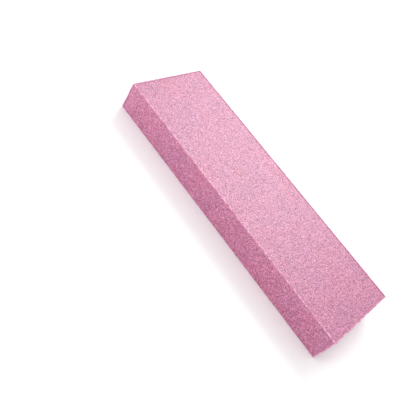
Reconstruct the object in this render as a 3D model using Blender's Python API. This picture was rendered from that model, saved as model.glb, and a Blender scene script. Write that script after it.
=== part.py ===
"""Nail buffer block: a bar of stiff foam with abrasive paper glued to all six of its faces.

The block lies on one of its two broad faces. +X runs along its length, +Y across its width and +Z up
through its thickness. The origin is the middle of the underside.
"""

from math import pi

import bmesh
import bpy

# Driving dimensions of the finished block, in metres.
BLOCK_LENGTH = 0.095
BLOCK_WIDTH = 0.030
BLOCK_THICKNESS = 0.010

# The lay-up on each face, from the foam outwards.
ADHESIVE_THICKNESS = 0.00010
BACKING_THICKNESS = 0.00025
GRIT_THICKNESS = 0.00020
LAYER_GAP = 0.00002

# Once the sheets are glued on, tumbling rounds every arris of the block through its grit and paper.
ARRIS_RADIUS = 0.00040
ARRIS_SEGMENTS = 4

LAYERS = (
    ("adhesive_film", ADHESIVE_THICKNESS),
    ("backing_paper", BACKING_THICKNESS),
    ("grit_coat", GRIT_THICKNESS),
)
LAYUP_THICKNESS = sum(LAYER_GAP + thickness for _, thickness in LAYERS)

CORE_LENGTH = BLOCK_LENGTH - 2 * LAYUP_THICKNESS
CORE_WIDTH = BLOCK_WIDTH - 2 * LAYUP_THICKNESS
CORE_THICKNESS = BLOCK_THICKNESS - 2 * LAYUP_THICKNESS

# Colour, roughness and metallic value of each material. Colours are linear RGB.
FINISHES = {
    "foam_core": ((0.68, 0.36, 0.47), 0.90, 0.0),
    "adhesive_film": ((0.72, 0.60, 0.55), 0.35, 0.0),
    "backing_paper": ((0.86, 0.52, 0.66), 0.85, 0.0),
    "grit_coat": ((0.72, 0.26, 0.43), 0.70, 0.0),
}


def clear_scene():
    """Remove every object, so that the script gives the same scene each time it is run."""
    for item in list(bpy.data.objects):
        bpy.data.objects.remove(item, do_unlink=True)


def make_material(name, finish):
    """A Principled material of the given finish, named after the sub-part that wears it."""
    colour, roughness, metallic = finish
    material = bpy.data.materials.new(name)
    material.use_nodes = True
    shader = material.node_tree.nodes["Principled BSDF"]
    shader.inputs["Base Color"].default_value = (*colour, 1.0)
    shader.inputs["Roughness"].default_value = roughness
    shader.inputs["Metallic"].default_value = metallic
    material.diffuse_color = (*colour, 1.0)
    return material


def slab_mesh(name, length, width, thickness):
    """A rectangular slab that lies on z = 0, centred in x and y, with its faces pointing out."""
    body = bmesh.new()
    bmesh.ops.create_cube(body, size=1.0)
    bmesh.ops.translate(body, verts=body.verts, vec=(0.0, 0.0, 0.5))
    bmesh.ops.scale(body, verts=body.verts, vec=(length, width, thickness))
    mesh = bpy.data.meshes.new(name)
    body.to_mesh(mesh)
    body.free()
    return mesh


def add_tumbled_outline(centre):
    """The finished block's outer shape, a bar with rounded arrises, which trims every glued sheet."""
    body = bmesh.new()
    bmesh.ops.create_cube(body, size=1.0)
    bmesh.ops.scale(body, verts=body.verts, vec=(BLOCK_LENGTH, BLOCK_WIDTH, BLOCK_THICKNESS))
    bmesh.ops.bevel(
        body,
        geom=body.edges,
        offset=ARRIS_RADIUS,
        segments=ARRIS_SEGMENTS,
        profile=0.5,
        affect="EDGES",
    )
    mesh = bpy.data.meshes.new("tumbled_outline")
    body.to_mesh(mesh)
    body.free()
    outline = bpy.data.objects.new("tumbled_outline", mesh)
    outline.parent = centre
    outline.hide_render = True
    outline.display_type = "WIRE"
    bpy.context.collection.objects.link(outline)
    return outline


def add_node(name, kind, mesh, parent, location, rotation=(0.0, 0.0, 0.0)):
    """Put a mesh in the scene as one named sub-part under the block's centre."""
    mesh.materials.append(make_material(name, FINISHES[kind]))
    node = bpy.data.objects.new(name, mesh)
    node.parent = parent
    node.location = location
    node.rotation_euler = rotation
    bpy.context.collection.objects.link(node)
    return node


def add_foam_core(centre):
    """The die-cut foam bar, which everything else is glued to."""
    mesh = slab_mesh("foam_core", CORE_LENGTH, CORE_WIDTH, CORE_THICKNESS)
    add_node("foam_core", "foam_core", mesh, centre, (0.0, 0.0, -CORE_THICKNESS / 2))


def add_layup(face, outward, reach, rotation, length, width, centre, outline):
    """Glue film, backing paper and grit coat on one face, trimmed to the tumbled outline.

    outward is the face's unit normal, reach the distance from the block's centre to the foam there,
    and length and width are the sheet's cut size, along its own x and y before it is turned.
    """
    distance = reach
    for kind, thickness in LAYERS:
        distance += LAYER_GAP
        name = f"{face}_{kind}"
        mesh = slab_mesh(name, length, width, thickness)
        location = tuple(distance * component for component in outward)
        sheet = add_node(name, kind, mesh, centre, location, rotation)
        trim = sheet.modifiers.new("trim_to_outline", "BOOLEAN")
        trim.operation = "INTERSECT"
        trim.object = outline
        distance += thickness


def add_abrasive_sheets(centre):
    """Dress the foam: broad faces first, then the sides over their cut edges, then the ends over all."""
    half_thickness = CORE_THICKNESS / 2
    half_width = CORE_WIDTH / 2
    half_length = CORE_LENGTH / 2
    outline = add_tumbled_outline(centre)

    broad = (CORE_LENGTH, CORE_WIDTH, centre, outline)
    add_layup("top", (0, 0, 1), half_thickness, (0.0, 0.0, 0.0), *broad)
    add_layup("bottom", (0, 0, -1), half_thickness, (pi, 0.0, 0.0), *broad)

    side = (CORE_LENGTH, BLOCK_THICKNESS, centre, outline)
    add_layup("left_side", (0, 1, 0), half_width, (-pi / 2, 0.0, 0.0), *side)
    add_layup("right_side", (0, -1, 0), half_width, (pi / 2, 0.0, 0.0), *side)

    end = (BLOCK_THICKNESS, BLOCK_WIDTH, centre, outline)
    add_layup("front_end", (1, 0, 0), half_length, (0.0, pi / 2, 0.0), *end)
    add_layup("rear_end", (-1, 0, 0), half_length, (0.0, -pi / 2, 0.0), *end)


def build_block():
    """The whole block, under one empty at its centre."""
    centre = bpy.data.objects.new("block_centre", None)
    centre.location = (0.0, 0.0, BLOCK_THICKNESS / 2)
    bpy.context.collection.objects.link(centre)
    add_foam_core(centre)
    add_abrasive_sheets(centre)


clear_scene()
build_block()
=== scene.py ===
"""Nail buffer block: a bar of stiff foam, dressed on all six faces with pink abrasive paper."""

import math

import bmesh
import bpy
from mathutils import Matrix, Vector


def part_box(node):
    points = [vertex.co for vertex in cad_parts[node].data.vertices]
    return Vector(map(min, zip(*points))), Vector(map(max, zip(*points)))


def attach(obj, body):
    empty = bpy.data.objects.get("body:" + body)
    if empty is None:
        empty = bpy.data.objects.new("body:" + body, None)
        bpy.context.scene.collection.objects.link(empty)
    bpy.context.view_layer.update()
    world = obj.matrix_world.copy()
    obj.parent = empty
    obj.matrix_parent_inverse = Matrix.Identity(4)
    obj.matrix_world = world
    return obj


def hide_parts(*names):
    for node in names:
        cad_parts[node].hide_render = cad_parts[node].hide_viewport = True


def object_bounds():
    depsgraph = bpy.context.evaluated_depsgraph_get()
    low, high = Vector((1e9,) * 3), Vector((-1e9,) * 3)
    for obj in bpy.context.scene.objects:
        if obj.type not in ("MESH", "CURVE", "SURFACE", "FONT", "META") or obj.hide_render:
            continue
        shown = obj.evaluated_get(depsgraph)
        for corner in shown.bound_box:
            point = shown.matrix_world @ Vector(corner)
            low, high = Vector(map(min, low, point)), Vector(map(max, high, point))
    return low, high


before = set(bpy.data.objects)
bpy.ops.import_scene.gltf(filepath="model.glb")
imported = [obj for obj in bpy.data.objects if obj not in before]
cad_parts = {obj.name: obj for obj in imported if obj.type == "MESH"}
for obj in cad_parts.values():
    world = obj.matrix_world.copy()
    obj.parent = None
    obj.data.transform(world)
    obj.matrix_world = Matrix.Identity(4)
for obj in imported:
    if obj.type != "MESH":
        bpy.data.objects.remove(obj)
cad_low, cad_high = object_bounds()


# ---- Camera ---------------------------------------------------------------------------------------
# A hand-held view of one block: from over the right side, near its front end, with the camera rolled
# so that the block runs down to the right.

LENS = 46.22
SENSOR_WIDTH = 36.0
VIEW_AZIMUTH = math.radians(18.572)
VIEW_ELEVATION = math.radians(44.436)
VIEW_ROLL = math.radians(39.370)
VIEW_DISTANCE = 0.14737
AIM_FROM_CENTRE = Vector((-0.0007, -0.02151, 0.005))
NEAREST_SEEN = 0.005
FARTHEST_SEEN = 10.0

block_centre = (cad_low + cad_high) / 2
aim = block_centre + AIM_FROM_CENTRE
towards_camera = Vector((
    math.sin(VIEW_AZIMUTH) * math.cos(VIEW_ELEVATION),
    -math.cos(VIEW_AZIMUTH) * math.cos(VIEW_ELEVATION),
    math.sin(VIEW_ELEVATION),
))
camera_data = bpy.data.cameras.new("camera")
camera_data.lens = LENS
camera_data.sensor_width = SENSOR_WIDTH
camera_data.clip_start = NEAREST_SEEN
camera_data.clip_end = FARTHEST_SEEN
camera = bpy.data.objects.new("camera", camera_data)
upright = (-towards_camera).to_track_quat("-Z", "Y").to_matrix()
camera.matrix_world = (
    Matrix.Translation(aim + towards_camera * VIEW_DISTANCE)
    @ (upright @ Matrix.Rotation(VIEW_ROLL, 3, "Z")).to_4x4()
)
bpy.context.collection.objects.link(camera)
bpy.context.scene.camera = camera


# ---- Foam core ------------------------------------------------------------------------------------
# A die-cut bar of closed-cell EVA foam, stiff but springy under a finger. Everything else is glued to
# it, and the glued sheets hide it.

CELL_SIZE = 0.00035
CELL_PIT = CELL_SIZE / 4


def linear(hex_colour):
    """An sRGB hex colour as linear RGBA."""
    channels = [int(hex_colour[start:start + 2], 16) / 255 for start in (1, 3, 5)]
    return (*[c / 12.92 if c <= 0.04045 else ((c + 0.055) / 1.055) ** 2.4 for c in channels], 1.0)


def put(tree, kind, sockets=None, stops=None, **settings):
    """Add a node: its settings, its sockets as values or other nodes' outputs, and a ramp's stops."""
    made = tree.nodes.new(kind)
    for name, value in settings.items():
        setattr(made, name, value)
    for name, value in (sockets or {}).items():
        if isinstance(value, (bpy.types.NodeSocket, list)):
            for source in value if isinstance(value, list) else [value]:
                tree.links.new(source, made.inputs[name])
        else:
            made.inputs[name].default_value = value
    if stops:
        elements = made.color_ramp.elements
        while len(elements) < len(stops):
            elements.new(0.5)
        for element, (position, colour) in zip(elements, stops):
            element.position = position
            element.color = colour
    return made


def new_material(name):
    """An empty node material, and its tree."""
    material = bpy.data.materials.new(name)
    material.use_nodes = True
    material.node_tree.nodes.clear()
    return material, material.node_tree


# EVA foam skived from a bun: matte, pale pink right through, with cut cells about a third of a
# millimetre across.
eva_foam, tree = new_material("closed_cell_eva_foam")
place = put(tree, "ShaderNodeTexCoord").outputs["Object"]
cells = put(tree, "ShaderNodeTexVoronoi", {"Vector": place, "Scale": 1 / CELL_SIZE})
# The ramp darkens the colour towards each cell's pit, where the bump below sinks it: painted shade in
# the pits.
shade = put(tree, "ShaderNodeValToRGB", {"Fac": cells.outputs["Distance"]},
            stops=[(0.0, linear("#C492A8")), (0.8, linear("#D5ACBC"))])
pits = put(tree, "ShaderNodeBump", {"Height": cells.outputs["Distance"], "Distance": CELL_PIT})
foam = put(tree, "ShaderNodeBsdfPrincipled", {
    "Base Color": shade.outputs["Color"],
    "Roughness": 0.9,
    "IOR": 1.48,
    "Normal": pits.outputs["Normal"],
})
put(tree, "ShaderNodeOutputMaterial", {"Surface": foam.outputs["BSDF"]})
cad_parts["foam_core"].data.materials.clear()
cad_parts["foam_core"].data.materials.append(eva_foam)


# ---- Glue films -----------------------------------------------------------------------------------
# Pressure-sensitive acrylic glue, a tenth of a millimetre thick, rolled on between the foam and each
# sheet. Only its cut edge shows, as a faint glossy line.

FACES = ("top", "bottom", "left_side", "right_side", "front_end", "rear_end")
GLUE_WAVE = 0.0012

# Clear acrylic glue, smoother and glossier than the sheets, pink from what lies on either side of it.
acrylic_glue, tree = new_material("pressure_sensitive_acrylic_glue")
place = put(tree, "ShaderNodeTexCoord").outputs["Object"]
streaks = put(tree, "ShaderNodeTexNoise", {"Vector": place, "Scale": 1 / GLUE_WAVE, "Detail": 2.0})
shade = put(tree, "ShaderNodeValToRGB", {"Fac": streaks.outputs["Fac"]},
            stops=[(0.3, linear("#BE7C9B")), (0.7, linear("#CE95B0"))])
glue = put(tree, "ShaderNodeBsdfPrincipled", {
    "Base Color": shade.outputs["Color"],
    "Roughness": 0.35,
    "IOR": 1.47,
})
put(tree, "ShaderNodeOutputMaterial", {"Surface": glue.outputs["BSDF"]})
for face in FACES:
    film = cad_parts[f"{face}_adhesive_film"]
    film.data.materials.clear()
    film.data.materials.append(acrylic_glue)


# ---- Backing papers -------------------------------------------------------------------------------
# The abrasive sheets' heavy paper, dyed pale pink. Tumbling cuts through the grit at every arris, so
# the paper shows there as a thin pale line with a felted edge.

FIBRE_WIDTH = 0.00006
FIBRE_CLUMP = 4 * FIBRE_WIDTH
STAIN_LENGTH = 0.0009

# Heavy kraft paper, bleached and dyed through: matte and fibrous, paler than the resin, and stained in
# places along the cut edge where the size coat has bled over it.
dyed_paper, tree = new_material("dyed_abrasive_backing_paper")
place = put(tree, "ShaderNodeTexCoord").outputs["Object"]
fibres = put(tree, "ShaderNodeTexNoise", {
    "Vector": place, "Scale": 1 / FIBRE_CLUMP, "Detail": 4.0, "Roughness": 0.7,
})
shade = put(tree, "ShaderNodeValToRGB", {"Fac": fibres.outputs["Fac"]},
            stops=[(0.3, linear("#E098B9")), (0.7, linear("#F2BDD3"))])
bled = put(tree, "ShaderNodeTexNoise", {"Vector": place, "Scale": 1 / STAIN_LENGTH, "Detail": 3.0})
stain = put(tree, "ShaderNodeValToRGB", {"Fac": bled.outputs["Fac"]},
            stops=[(0.44, linear("#000000")), (0.56, linear("#E8E8E8"))])
stained = put(tree, "ShaderNodeMix", {
    "Factor": stain.outputs["Color"], 6: shade.outputs["Color"], 7: linear("#B06086"),
}, data_type="RGBA")
felt = put(tree, "ShaderNodeBump", {"Height": fibres.outputs["Fac"], "Distance": FIBRE_WIDTH})
paper = put(tree, "ShaderNodeBsdfPrincipled", {
    "Base Color": stained.outputs[2],
    "Roughness": 0.85,
    "IOR": 1.5,
    "Normal": felt.outputs["Normal"],
})
put(tree, "ShaderNodeOutputMaterial", {"Surface": paper.outputs["BSDF"]})
for face in FACES:
    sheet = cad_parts[f"{face}_backing_paper"]
    sheet.data.materials.clear()
    sheet.data.materials.append(dyed_paper)


# ---- Grit coats -----------------------------------------------------------------------------------
# Closed coats of aluminium oxide grains, bonded to the paper in pink resin: a carpet of small broken
# crystals, no two at one height, that rounds off over the block's tumbled arrises.

GRAIN_SPACING = 0.00017
GRAIN_CLUSTER = 0.00020
GRAIN_RELIEF = 0.00006
GRAIN_STRAY = 0.42
OWN_DEPTH_SHARE = 0.5
RESIN_SHARE = 0.5
DYE_PATCH = 0.008
CUT_MARGIN = 0.25
CUT_RAGGEDNESS = 0.00005
ARRIS_RADIUS = 0.00040
WEAR_FALLOFF = 4.0
WELD_DISTANCE = 0.000001
COAT_SEED = 7

# A stretch of sheet that the tree is set up for. Each face's own sizes are given as it is made.
SAMPLE_LENGTH = 0.09
SAMPLE_WIDTH = 0.03
SAMPLE_INSET = 0.001
SAMPLE_THICKNESS = 0.0002


def group_inputs(tree, sizes):
    """Give a node tree a geometry to start from and named inputs, and return its input sockets."""
    tree.interface.new_socket("Geometry", in_out="INPUT", socket_type="NodeSocketGeometry")
    for name, value in sizes.items():
        kind = "NodeSocketInt" if isinstance(value, int) else "NodeSocketFloat"
        if isinstance(value, bpy.types.Material):
            kind = "NodeSocketMaterial"
        socket = tree.interface.new_socket(name, in_out="INPUT", socket_type=kind)
        socket.default_value = value
    tree.interface.new_socket("Geometry", in_out="OUTPUT", socket_type="NodeSocketGeometry")
    return tree.nodes.new("NodeGroupInput").outputs


def made_by(tree, name, sizes, start):
    """Run a geometry node tree on a starting mesh, at the given sizes, and return what it makes as a
    plain mesh. The starting mesh is used up."""
    maker = bpy.data.objects.new("maker", start)
    bpy.context.collection.objects.link(maker)
    modifier = maker.modifiers.new("maker", "NODES")
    modifier.node_group = tree
    for item in tree.interface.items_tree:
        if item.in_out == "INPUT" and item.name in sizes:
            modifier[item.identifier] = sizes[item.name]
    evaluated = maker.evaluated_get(bpy.context.evaluated_depsgraph_get())
    mesh = bpy.data.meshes.new_from_object(evaluated)
    mesh.name = name
    bpy.data.objects.remove(maker, do_unlink=True)
    bpy.data.meshes.remove(start)
    return mesh


# Fused alumina grains under a size coat of dyed resin: deep pink between pale and mauve grains, with a
# dry white sheen where the light is behind. The dye has settled unevenly, in violet and warm patches of
# up to a centimetre, and tumbling has rubbed many of the arris grains bare of it. Real grains are about
# a tenth of a millimetre across; these are nearly twice that, so that they show.
grit_in_resin, tree = new_material("alumina_grit_in_pink_resin")
place = put(tree, "ShaderNodeTexCoord").outputs["Object"]
grains = put(tree, "ShaderNodeTexVoronoi", {"Vector": place, "Scale": 1 / GRAIN_CLUSTER})
grain_tone = put(tree, "ShaderNodeSeparateColor", {"Color": grains.outputs["Color"]})
shade = put(tree, "ShaderNodeValToRGB", {"Fac": grain_tone.outputs["Red"]},
            stops=[(0.0, linear("#7C2C53")), (0.5, linear("#AC597F")), (1.0, linear("#D48AAC"))])
settling = put(tree, "ShaderNodeTexNoise", {
    "Vector": place, "Scale": 1 / DYE_PATCH, "Detail": 2.0, "Roughness": 0.6,
})
dye = put(tree, "ShaderNodeValToRGB", {"Fac": settling.outputs["Fac"]}, stops=[
    (0.25, linear("#F2F1FC")), (0.5, linear("#FFFCFE")), (0.75, linear("#FFF0F1")),
])
dyed = put(tree, "ShaderNodeMix", {
    "Factor": 1.0, 6: shade.outputs["Color"], 7: dye.outputs["Color"],
}, data_type="RGBA", blend_type="MULTIPLY")
rubbed = put(tree, "ShaderNodeMath", {
    0: put(tree, "ShaderNodeAttribute", attribute_name="worn").outputs["Fac"],
    1: grain_tone.outputs["Green"],
}, operation="MULTIPLY").outputs[0]
bared = put(tree, "ShaderNodeMix", {
    "Factor": rubbed, 6: dyed.outputs[2], 7: linear("#D9AEC0"),
}, data_type="RGBA")
resin = put(tree, "ShaderNodeBsdfPrincipled", {
    "Base Color": bared.outputs[2],
    "Roughness": 0.45,
    "IOR": 1.76,
})
put(tree, "ShaderNodeOutputMaterial", {"Surface": resin.outputs["BSDF"]})

coat = bpy.data.node_groups.new("grit_coat", "GeometryNodeTree")
given = group_inputs(coat, {
    "Length": SAMPLE_LENGTH,
    "Width": SAMPLE_WIDTH,
    "Inset Along Length": SAMPLE_INSET,
    "Inset Along Width": SAMPLE_INSET,
    "Thickness": SAMPLE_THICKNESS,
    "Arris Radius": ARRIS_RADIUS,
    "Grain Spacing": GRAIN_SPACING,
    "Grain Cluster": GRAIN_CLUSTER,
    "Grain Relief": GRAIN_RELIEF,
    "Filled Share": RESIN_SHARE,
    "Cut Raggedness": CUT_RAGGEDNESS,
    "Wear Falloff": WEAR_FALLOFF,
    "Seed": COAT_SEED,
    "Material": grit_in_resin,
})

# A flat grid of grains, one vertex to a grain.
across = put(coat, "ShaderNodeMath", {
    0: given["Length"], 1: given["Grain Spacing"],
}, operation="DIVIDE")
down = put(coat, "ShaderNodeMath", {
    0: given["Width"], 1: given["Grain Spacing"],
}, operation="DIVIDE")
flat = put(coat, "GeometryNodeMeshGrid", {
    "Size X": given["Length"],
    "Size Y": given["Width"],
    "Vertices X": across.outputs[0],
    "Vertices Y": down.outputs[0],
})

# How far each grain lies inside the sheet's own cut edge, and inside the block's outer planes.
start = put(coat, "GeometryNodeInputPosition").outputs[0]
half_sheet = put(coat, "ShaderNodeVectorMath", {
    0: put(coat, "ShaderNodeCombineXYZ", {"X": given["Length"], "Y": given["Width"]}).outputs[0],
    1: (0.5, 0.5, 0.0),
}, operation="MULTIPLY")
from_middle = put(coat, "ShaderNodeVectorMath", {0: start}, operation="ABSOLUTE")
inside = put(coat, "ShaderNodeVectorMath", {
    0: half_sheet.outputs[0], 1: from_middle.outputs[0],
}, operation="SUBTRACT").outputs[0]
inside_xy = put(coat, "ShaderNodeSeparateXYZ", {0: inside}).outputs
nearest_cut = put(coat, "ShaderNodeMath", {
    0: inside_xy["X"], 1: inside_xy["Y"],
}, operation="MINIMUM").outputs[0]
cut_margin = put(coat, "ShaderNodeMath", {
    0: given["Grain Spacing"], 1: CUT_MARGIN,
}, operation="MULTIPLY").outputs[0]
is_inner = put(coat, "ShaderNodeMath", {
    0: nearest_cut, 1: cut_margin,
}, operation="GREATER_THAN").outputs[0]

# Inner grains are strewn off the grid. Those on the cut edge are chipped back from it, never past it.
strewn = put(coat, "FunctionNodeRandomValue", {
    0: (-GRAIN_STRAY, -GRAIN_STRAY, 0.0),
    1: (GRAIN_STRAY, GRAIN_STRAY, 0.0),
    "Seed": given["Seed"],
}, data_type="FLOAT_VECTOR").outputs[0]
strewn_by = put(coat, "ShaderNodeVectorMath", {
    0: strewn,
    "Scale": put(coat, "ShaderNodeMath", {
        0: given["Grain Spacing"], 1: is_inner,
    }, operation="MULTIPLY").outputs[0],
}, operation="SCALE").outputs[0]
chip = put(coat, "FunctionNodeRandomValue", {2: 0.0, 3: 1.0, "Seed": given["Seed"]}).outputs[1]
chip_depth = put(coat, "ShaderNodeMath", {
    0: chip, 1: given["Cut Raggedness"],
}, operation="MULTIPLY").outputs[0]
is_edge = put(coat, "ShaderNodeMath", {0: 1.0, 1: is_inner}, operation="SUBTRACT").outputs[0]
inward = put(coat, "ShaderNodeVectorMath", {
    0: put(coat, "ShaderNodeVectorMath", {0: start}, operation="SIGN").outputs[0],
    "Scale": put(coat, "ShaderNodeMath", {0: chip_depth, 1: is_edge}, operation="MULTIPLY").outputs[0],
}, operation="SCALE").outputs[0]
moved = put(coat, "ShaderNodeVectorMath", {0: start, 1: strewn_by}, operation="ADD").outputs[0]
moved = put(coat, "ShaderNodeVectorMath", {0: moved, 1: inward}, operation="SUBTRACT").outputs[0]

# The tumbled arris: past the start of its curve, a grain sinks along a circle of the arris radius.
insets = put(coat, "ShaderNodeCombineXYZ", {
    "X": given["Inset Along Length"], "Y": given["Inset Along Width"],
}).outputs[0]
moved_from_middle = put(coat, "ShaderNodeVectorMath", {0: moved}, operation="ABSOLUTE").outputs[0]
inside_block = put(coat, "ShaderNodeVectorMath", {
    0: put(coat, "ShaderNodeVectorMath", {
        0: half_sheet.outputs[0], 1: insets,
    }, operation="ADD").outputs[0],
    1: moved_from_middle,
}, operation="SUBTRACT").outputs[0]
radii = put(coat, "ShaderNodeCombineXYZ", {
    "X": given["Arris Radius"], "Y": given["Arris Radius"],
}).outputs[0]
along_curve = put(coat, "ShaderNodeVectorMath", {
    0: put(coat, "ShaderNodeVectorMath", {0: radii, 1: inside_block}, operation="SUBTRACT").outputs[0],
}, operation="MAXIMUM").outputs[0]
reach = put(coat, "ShaderNodeVectorMath", {0: along_curve}, operation="LENGTH").outputs["Value"]

# On the curve the coat ends where it meets the paper, at this reach; grains past it are drawn back.
squared_radius = put(coat, "ShaderNodeMath", {
    0: given["Arris Radius"], 1: 2.0,
}, operation="POWER").outputs[0]
paper_radius = put(coat, "ShaderNodeMath", {
    0: given["Arris Radius"], 1: given["Thickness"],
}, operation="SUBTRACT").outputs[0]
squared_end = put(coat, "ShaderNodeMath", {
    0: squared_radius,
    1: put(coat, "ShaderNodeMath", {0: paper_radius, 1: 2.0}, operation="POWER").outputs[0],
}, operation="SUBTRACT").outputs[0]
end_reach = put(coat, "ShaderNodeMath", {0: squared_end}, operation="SQRT").outputs[0]
kept_share = put(coat, "ShaderNodeMath", {
    0: put(coat, "ShaderNodeMath", {
        0: end_reach,
        1: put(coat, "ShaderNodeMath", {0: reach, 1: WELD_DISTANCE}, operation="MAXIMUM").outputs[0],
    }, operation="DIVIDE").outputs[0],
    1: 1.0,
}, operation="MINIMUM").outputs[0]
drawn_back = put(coat, "ShaderNodeVectorMath", {
    0: put(coat, "ShaderNodeVectorMath", {0: moved}, operation="SIGN").outputs[0],
    1: put(coat, "ShaderNodeVectorMath", {
        0: along_curve,
        "Scale": put(coat, "ShaderNodeMath", {0: 1.0, 1: kept_share}, operation="SUBTRACT").outputs[0],
    }, operation="SCALE").outputs[0],
}, operation="MULTIPLY").outputs[0]
placed = put(coat, "ShaderNodeVectorMath", {0: moved, 1: drawn_back}, operation="SUBTRACT").outputs[0]
kept_reach = put(coat, "ShaderNodeMath", {0: reach, 1: kept_share}, operation="MULTIPLY").outputs[0]
circle_height = put(coat, "ShaderNodeMath", {
    0: put(coat, "ShaderNodeMath", {
        0: squared_radius,
        1: put(coat, "ShaderNodeMath", {0: kept_reach, 1: 2.0}, operation="POWER").outputs[0],
    }, operation="SUBTRACT").outputs[0],
}, operation="SQRT").outputs[0]
tip_height = put(coat, "ShaderNodeMath", {
    0: circle_height, 1: paper_radius,
}, operation="SUBTRACT").outputs[0]

# How far tumbling has worn each grain: not at all on the flat, hardly where the curve starts, and
# fully where it ends.
round_curve = put(coat, "ShaderNodeMath", {
    0: put(coat, "ShaderNodeMath", {0: reach, 1: end_reach}, operation="DIVIDE").outputs[0], 1: 1.0,
}, operation="MINIMUM").outputs[0]
worn = put(coat, "ShaderNodeMath", {
    0: round_curve, 1: given["Wear Falloff"],
}, operation="POWER").outputs[0]
tumbled = put(coat, "GeometryNodeStoreNamedAttribute", {
    "Geometry": flat.outputs["Mesh"], "Name": "worn", "Value": worn,
}, data_type="FLOAT", domain="POINT").outputs[0]

# Each grain's tip lies below the full height by its own amount, part its own and part its cluster's.
own_depth = put(coat, "FunctionNodeRandomValue", {
    2: 0.0, 3: OWN_DEPTH_SHARE, "Seed": given["Seed"],
}).outputs[1]
cluster_scale = put(coat, "ShaderNodeMath", {
    0: 1.0, 1: given["Grain Cluster"],
}, operation="DIVIDE").outputs[0]
cluster = put(coat, "ShaderNodeTexVoronoi", {"Vector": placed, "Scale": cluster_scale})
cluster_tone = put(coat, "ShaderNodeSeparateXYZ", {0: cluster.outputs["Color"]}).outputs["X"]
depth_share = put(coat, "ShaderNodeMath", {
    0: cluster_tone, 1: 1 - OWN_DEPTH_SHARE, 2: own_depth,
}, operation="MULTIPLY_ADD").outputs[0]
relief_share = put(coat, "ShaderNodeMath", {
    0: given["Grain Relief"], 1: given["Thickness"],
}, operation="DIVIDE").outputs[0]
lost_share = put(coat, "ShaderNodeMath", {
    0: depth_share, 1: relief_share,
}, operation="MULTIPLY").outputs[0]
kept_height = put(coat, "ShaderNodeMath", {
    0: given["Filled Share"], 1: lost_share,
}, operation="SUBTRACT").outputs[0]
height = put(coat, "ShaderNodeMath", {0: tip_height, 1: kept_height}, operation="MULTIPLY").outputs[0]
carpet = put(coat, "GeometryNodeSetPosition", {
    "Geometry": tumbled,
    "Position": put(coat, "ShaderNodeVectorMath", {
        0: placed, 1: put(coat, "ShaderNodeCombineXYZ", {"Z": height}).outputs[0],
    }, operation="ADD").outputs[0],
}).outputs[0]

# Close the coat: its cut edge, where only one face meets, runs down to the paper, and one flat face
# lies against the paper.
on_border = put(coat, "ShaderNodeMath", {
    0: put(coat, "GeometryNodeInputMeshEdgeNeighbors").outputs["Face Count"], 1: 2,
}, operation="LESS_THAN").outputs[0]
skirt = put(coat, "GeometryNodeExtrudeMesh", {
    "Mesh": carpet, "Selection": on_border, "Offset Scale": 0.0,
}, mode="EDGES").outputs
walled = put(coat, "GeometryNodeSetPosition", {
    "Geometry": skirt["Mesh"],
    "Selection": skirt["Top"],
    "Position": put(coat, "ShaderNodeVectorMath", {
        0: put(coat, "GeometryNodeInputPosition").outputs[0], 1: (1.0, 1.0, 0.0),
    }, operation="MULTIPLY").outputs[0],
}).outputs[0]
outline = put(coat, "GeometryNodeMeshToCurve", {
    "Mesh": walled, "Selection": skirt["Top"],
}).outputs[0]
underside = put(coat, "GeometryNodeFillCurve", {"Curve": outline}, mode="NGONS").outputs[0]
underside = put(coat, "GeometryNodeFlipFaces", {"Mesh": underside}).outputs[0]
closed = put(coat, "GeometryNodeMergeByDistance", {
    "Geometry": put(coat, "GeometryNodeJoinGeometry", {0: [walled, underside]}).outputs[0],
    "Distance": WELD_DISTANCE,
}).outputs[0]
facetted = put(coat, "GeometryNodeSetShadeSmooth", {
    "Geometry": closed, "Shade Smooth": False,
}).outputs[0]
real = put(coat, "GeometryNodeRealizeInstances", {"Geometry": facetted}).outputs[0]
dressed = put(coat, "GeometryNodeSetMaterial", {
    "Geometry": real, "Material": given["Material"],
}).outputs[0]
put(coat, "NodeGroupOutput", {"Geometry": dressed})

# Each face's own directions: along its sheet, across its sheet, and out of the block.
DIRECTIONS = {
    "top": ((1, 0, 0), (0, 1, 0), (0, 0, 1)),
    "bottom": ((1, 0, 0), (0, -1, 0), (0, 0, -1)),
    "left_side": ((-1, 0, 0), (0, 0, 1), (0, 1, 0)),
    "right_side": ((1, 0, 0), (0, 0, 1), (0, -1, 0)),
    "front_end": ((0, 1, 0), (0, 0, 1), (1, 0, 0)),
    "rear_end": ((0, -1, 0), (0, 0, 1), (-1, 0, 0)),
}


def sheet_place(face):
    """A face's grit coat as the frame has it: its size in its own directions, its insets from the
    block's outer planes, and the matrix from the middle of its paper side to the frame."""
    low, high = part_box(f"{face}_grit_coat")
    turn = Matrix([Vector(direction) for direction in DIRECTIONS[face]]).transposed()
    size = Vector([abs(s) for s in turn.transposed() @ (high - low)])
    block = Vector([abs(s) for s in turn.transposed() @ (cad_high - cad_low)])
    paper_side = (low + high) / 2 - turn.col[2] * size.z / 2
    return size, (block - size) / 2, Matrix.Translation(paper_side) @ turn.to_4x4()


carpets, places, sizes = {}, {}, {}
for number, face in enumerate(FACES):
    size, inset, places[face] = sheet_place(face)
    sizes[face] = size
    mesh = made_by(coat, f"{face}_grit", {
        "Length": size.x,
        "Width": size.y,
        "Inset Along Length": inset.x,
        "Inset Along Width": inset.y,
        "Thickness": size.z,
        "Seed": COAT_SEED + number,
    }, bpy.data.meshes.new("blank"))
    carpets[face] = mesh.copy()
    mesh.transform(places[face])
    grit = bpy.data.objects.new(mesh.name, mesh)
    bpy.context.collection.objects.link(grit)
    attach(grit, "root")
    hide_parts(f"{face}_grit_coat")


# ---- Proud grains ---------------------------------------------------------------------------------
# The largest alumina grains, bedded in the resin with their broken tips a little clear of the rest.
# They are what cuts, and what glints. A real one is a sixth of a millimetre across; these are drawn
# near twice that, so that each one shows.

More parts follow.
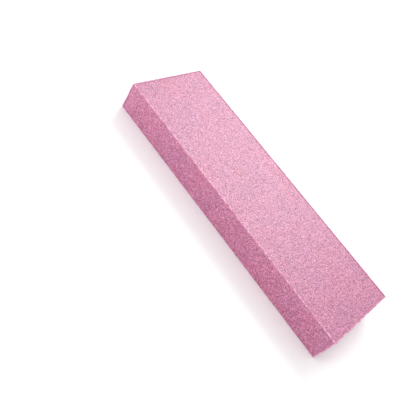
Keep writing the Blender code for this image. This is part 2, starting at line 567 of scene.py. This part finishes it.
PROUD_GRAIN_SIZE = 0.00034
PROUD_GRAIN_LEVEL = 0.00006
PROUD_GRAIN_TILT = 0.2
PROUD_GRAIN_SLIMMEST = (0.6, 0.6, 0.3)
PROUD_GRAIN_STOUTEST = (1.1, 1.1, 0.5)
PROUD_GRAINS_PER_SQUARE_METRE = 2e6
PROUD_GRAIN_SEED = 40
SEEDS_PER_FACE = 3
STEEPEST_STAND = 0.2

# A broken crystal of fused alumina under a film of pink resin: each grain its own tone, either pale
# where the light gets into it or a dark mauve, with a wet glint on its facets.
pink_alumina, tree = new_material("pink_fused_alumina_crystal")
own_tone = put(tree, "ShaderNodeAttribute", attribute_name="tone").outputs["Fac"]
shade = put(tree, "ShaderNodeValToRGB", {"Fac": own_tone}, stops=[
    (0.0, linear("#3E1E3C")),
    (0.5, linear("#6E3B5B")),
    (0.6, linear("#C790AB")),
    (1.0, linear("#E7C7D6")),
])
crystal = put(tree, "ShaderNodeBsdfPrincipled", {
    "Base Color": shade.outputs["Color"],
    "Roughness": 0.3,
    "IOR": 1.76,
})
put(tree, "ShaderNodeOutputMaterial", {"Surface": crystal.outputs["BSDF"]})

strew = bpy.data.node_groups.new("proud_grains", "GeometryNodeTree")
given = group_inputs(strew, {
    "Sheet Length": SAMPLE_LENGTH,
    "Sheet Width": SAMPLE_WIDTH,
    "Grain Size": PROUD_GRAIN_SIZE,
    "Grain Level": PROUD_GRAIN_LEVEL,
    "Grains Per Square Metre": PROUD_GRAINS_PER_SQUARE_METRE,
    "Seed": PROUD_GRAIN_SEED,
    "Material": pink_alumina,
})

# They stand on the coat's outer side, not on its cut edges or the side that lies on the paper.
outward = put(strew, "ShaderNodeSeparateXYZ", {
    0: put(strew, "GeometryNodeInputNormal").outputs["Normal"],
}).outputs["Z"]
faces_out = put(strew, "ShaderNodeMath", {
    0: outward, 1: STEEPEST_STAND,
}, operation="GREATER_THAN").outputs[0]
points = put(strew, "GeometryNodeDistributePointsOnFaces", {
    "Mesh": given["Geometry"],
    "Selection": faces_out,
    "Density": given["Grains Per Square Metre"],
    "Seed": given["Seed"],
}, distribute_method="RANDOM").outputs["Points"]

# Their middles all lie at one level above the paper, whatever the height of the smaller grains there.
level = put(strew, "ShaderNodeCombineXYZ", {"Z": given["Grain Level"]}).outputs[0]
bedded = put(strew, "GeometryNodeSetPosition", {
    "Geometry": points,
    "Position": put(strew, "ShaderNodeVectorMath", {
        0: put(strew, "GeometryNodeInputPosition").outputs[0], 1: (1.0, 1.0, 0.0), 2: level,
    }, operation="MULTIPLY_ADD").outputs[0],
}).outputs[0]

# None stands so near the sheet's cut edge that it would overhang it.
half_sheet = put(strew, "ShaderNodeVectorMath", {
    0: put(strew, "ShaderNodeCombineXYZ", {
        "X": given["Sheet Length"], "Y": given["Sheet Width"],
    }).outputs[0],
    1: (0.5, 0.5, 0.0),
}, operation="MULTIPLY").outputs[0]
from_cut = put(strew, "ShaderNodeSeparateXYZ", {
    0: put(strew, "ShaderNodeVectorMath", {
        0: half_sheet,
        1: put(strew, "ShaderNodeVectorMath", {
            0: put(strew, "GeometryNodeInputPosition").outputs[0],
        }, operation="ABSOLUTE").outputs[0],
    }, operation="SUBTRACT").outputs[0],
}).outputs
nearest_cut = put(strew, "ShaderNodeMath", {
    0: from_cut["X"], 1: from_cut["Y"],
}, operation="MINIMUM").outputs[0]
clear_of_cut = put(strew, "ShaderNodeMath", {
    0: nearest_cut, 1: given["Grain Size"],
}, operation="GREATER_THAN").outputs[0]

# Each is an eight-sided chip, turned and broken down to its own shape, with its own tone.
grain_radius = put(strew, "ShaderNodeMath", {
    0: given["Grain Size"], 1: 0.5,
}, operation="MULTIPLY").outputs[0]
octahedron = put(strew, "GeometryNodeMeshUVSphere", {
    "Segments": 4, "Rings": 2, "Radius": grain_radius,
}).outputs["Mesh"]
facetted = put(strew, "GeometryNodeSetShadeSmooth", {
    "Geometry": octahedron, "Shade Smooth": False,
}).outputs[0]
turned = put(strew, "FunctionNodeRandomValue", {
    0: (-PROUD_GRAIN_TILT, -PROUD_GRAIN_TILT, 0.0),
    1: (PROUD_GRAIN_TILT, PROUD_GRAIN_TILT, math.tau),
    "Seed": given["Seed"],
}, data_type="FLOAT_VECTOR").outputs[0]
broken = put(strew, "FunctionNodeRandomValue", {
    0: PROUD_GRAIN_SLIMMEST,
    1: PROUD_GRAIN_STOUTEST,
    "Seed": put(strew, "ShaderNodeMath", {0: given["Seed"], 1: 1.0}, operation="ADD").outputs[0],
}, data_type="FLOAT_VECTOR").outputs[0]
grains = put(strew, "GeometryNodeInstanceOnPoints", {
    "Points": bedded,
    "Selection": clear_of_cut,
    "Instance": facetted,
    "Rotation": turned,
    "Scale": broken,
}).outputs["Instances"]
toned = put(strew, "GeometryNodeStoreNamedAttribute", {
    "Geometry": grains,
    "Name": "tone",
    "Value": put(strew, "FunctionNodeRandomValue", {
        2: 0.0, 3: 1.0,
        "Seed": put(strew, "ShaderNodeMath", {0: given["Seed"], 1: 2.0}, operation="ADD").outputs[0],
    }).outputs[1],
}, data_type="FLOAT", domain="INSTANCE").outputs[0]
real = put(strew, "GeometryNodeRealizeInstances", {"Geometry": toned}).outputs[0]
dressed = put(strew, "GeometryNodeSetMaterial", {
    "Geometry": real, "Material": given["Material"],
}).outputs[0]
put(strew, "NodeGroupOutput", {"Geometry": dressed})

for number, face in enumerate(FACES):
    mesh = made_by(strew, f"{face}_proud_grains", {
        "Sheet Length": sizes[face].x,
        "Sheet Width": sizes[face].y,
        "Seed": PROUD_GRAIN_SEED + SEEDS_PER_FACE * number,
    }, carpets[face])
    mesh.transform(places[face])
    tips = bpy.data.objects.new(mesh.name, mesh)
    bpy.context.collection.objects.link(tips)
    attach(tips, "root")


# ---- Floor and studio light -----------------------------------------------------------------------
# A plain white table in a bright, even studio, with a softbox behind the block and a weaker one at its
# side.

FLOOR_SIZE = 4.0
FLOOR_DROP = 0.00001

# Melamine-faced board: plain white with a soft, even sheen.
white_table, tree = new_material("white_melamine_table")
table_shader = put(tree, "ShaderNodeBsdfPrincipled", {
    "Base Color": linear("#F8F8F8"),
    "Roughness": 0.6,
})
put(tree, "ShaderNodeOutputMaterial", {"Surface": table_shader.outputs["BSDF"]})
floor_mesh = bpy.data.meshes.new("floor")
body = bmesh.new()
bmesh.ops.create_grid(body, x_segments=1, y_segments=1, size=FLOOR_SIZE / 2)
bmesh.ops.translate(body, verts=body.verts, vec=(0.0, 0.0, cad_low.z - FLOOR_DROP))
body.to_mesh(floor_mesh)
body.free()
floor_mesh.materials.append(white_table)
floor = bpy.data.objects.new("floor", floor_mesh)
bpy.context.collection.objects.link(floor)

# The light from all round, and each softbox: where it stands from the block's middle, its width and
# height, and its power in watts.
SKY_STRENGTH = 1.0
SOFTBOXES = {
    "softbox_behind": ((-0.095, 0.240, 0.240), (0.25, 0.13), 0.82),
    "softbox_at_side": ((-0.110, -0.210, 0.050), (0.10, 0.10), 0.16),
}

world = bpy.data.worlds.new("studio")
world.use_nodes = True
world.node_tree.nodes["Background"].inputs["Color"].default_value = (1.0, 1.0, 1.0, 1.0)
world.node_tree.nodes["Background"].inputs["Strength"].default_value = SKY_STRENGTH
bpy.context.scene.world = world

for name, (stand, size, power) in SOFTBOXES.items():
    lamp = bpy.data.lights.new(name, "AREA")
    lamp.shape = "RECTANGLE"
    lamp.size, lamp.size_y = size
    lamp.energy = power
    softbox = bpy.data.objects.new(name, lamp)
    softbox.visible_camera = False
    aimed = (-Vector(stand)).to_track_quat("-Z", "Y").to_matrix().to_4x4()
    softbox.matrix_world = Matrix.Translation(block_centre + Vector(stand)) @ aimed
    bpy.context.collection.objects.link(softbox)
bpy.context.scene.view_settings.view_transform = "Standard"
